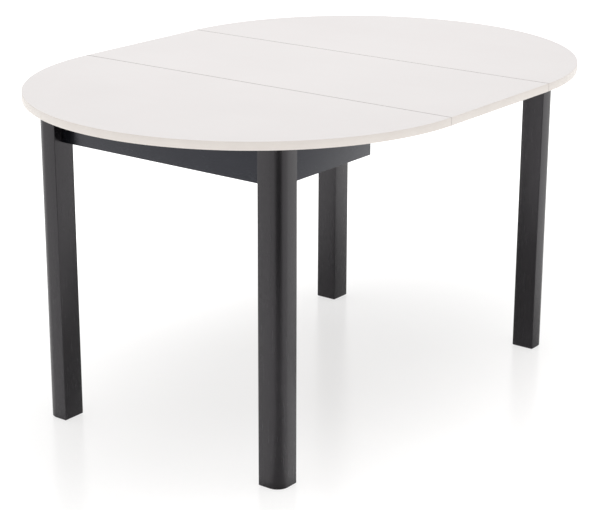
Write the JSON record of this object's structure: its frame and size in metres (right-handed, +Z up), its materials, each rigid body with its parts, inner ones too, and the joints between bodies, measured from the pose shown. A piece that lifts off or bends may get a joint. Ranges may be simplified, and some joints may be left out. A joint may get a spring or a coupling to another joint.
{
  "type": "extendable dining table",
  "caption": "Extendable dining table with a split round white top, a loose centre leaf, black legs and aprons, and wooden sliding runners.",
  "frame": {"origin": "on the floor under the centre of the leaf", "axes": "+X along the extension, towards the far half; +Y along the seams, to the left seen from the near end; +Z up"},
  "size_m": [1.4198, 1.02, 0.76],
  "materials": {
    "white_laminate": "board faced with satin white laminate",
    "edge_band": "satin warm white edge band",
    "black_lacquer": "solid wood in semi-gloss black lacquer",
    "beech": "bare planed beech",
    "zinc_steel": "bright zinc plated",
    "nylon": "moulded nylon"
  },
  "bodies": {
    "near_half": {"near_top_board": "white_laminate", "near_rim_band": "edge_band", "near_seam_band": "edge_band", "near_left_leg": "black_lacquer", "near_right_leg": "black_lacquer", "near_leg_glides": "nylon", "near_end_apron": "black_lacquer", "near_left_apron": "black_lacquer", "near_right_apron": "black_lacquer", "near_cross_rail": "black_lacquer", "near_dowels": "beech", "near_corner_plates": "zinc_steel", "near_hanger_bolts": "zinc_steel", "near_flange_nuts": "zinc_steel", "near_angle_brackets": "zinc_steel", "near_plate_screws": "zinc_steel", "near_left_runner": "beech", "near_right_runner": "beech", "near_runner_screws": "zinc_steel", "lock_pivot_screws": "zinc_steel", "lock_spacers": "nylon"},
    "far_half": {"far_top_board": "white_laminate", "far_rim_band": "edge_band", "far_seam_band": "edge_band", "far_left_leg": "black_lacquer", "far_right_leg": "black_lacquer", "far_leg_glides": "nylon", "far_end_apron": "black_lacquer", "far_left_apron": "black_lacquer", "far_right_apron": "black_lacquer", "far_cross_rail": "black_lacquer", "far_dowels": "beech", "far_corner_plates": "zinc_steel", "far_hanger_bolts": "zinc_steel", "far_flange_nuts": "zinc_steel", "far_angle_brackets": "zinc_steel", "far_plate_screws": "zinc_steel", "far_left_runner": "beech", "far_right_runner": "beech", "far_runner_screws": "zinc_steel", "lock_keepers": "zinc_steel", "lock_keeper_screws": "zinc_steel"},
    "middle_runners": {"left_middle_runner": "beech", "right_middle_runner": "beech", "runner_stop_pins": "zinc_steel"},
    "leaf": {"leaf_board": "white_laminate", "leaf_left_end_band": "edge_band", "leaf_right_end_band": "edge_band", "leaf_near_seam_band": "edge_band", "leaf_near_batten": "beech", "leaf_far_seam_band": "edge_band", "leaf_far_batten": "beech", "leaf_batten_screws": "zinc_steel"},
    "left_lock_lever": {"left_lock_lever": "zinc_steel"},
    "right_lock_lever": {"right_lock_lever": "zinc_steel"}
  },
  "joints": [
    {"name": "far_half_slide", "type": "slide", "parent": "near_half", "child": "far_half", "axis": [1, 0, 0], "range_m": [0, 0.04]},
    {"name": "middle_runners_slide", "type": "slide", "parent": "near_half", "child": "middle_runners", "axis": [1, 0, 0], "range_m": [0, 0.02]},
    {"name": "leaf_lift", "type": "slide", "parent": "near_half", "child": "leaf", "axis": [0, 0, 1], "range_m": [0, 0.25]},
    {"name": "left_lock_turn", "type": "hinge", "parent": "near_half", "child": "left_lock_lever", "pos_m": [-0.228, 0.262, 0.7372], "axis": [0, 0, 1], "range_deg": [0, 90]},
    {"name": "right_lock_turn", "type": "hinge", "parent": "near_half", "child": "right_lock_lever", "pos_m": [-0.228, -0.262, 0.7372], "axis": [0, 0, -1], "range_deg": [0, 90]}
  ],
  "couplings": [
    {"joint": "middle_runners_slide", "follows": "far_half_slide", "ratio": 0.5}
  ]
}
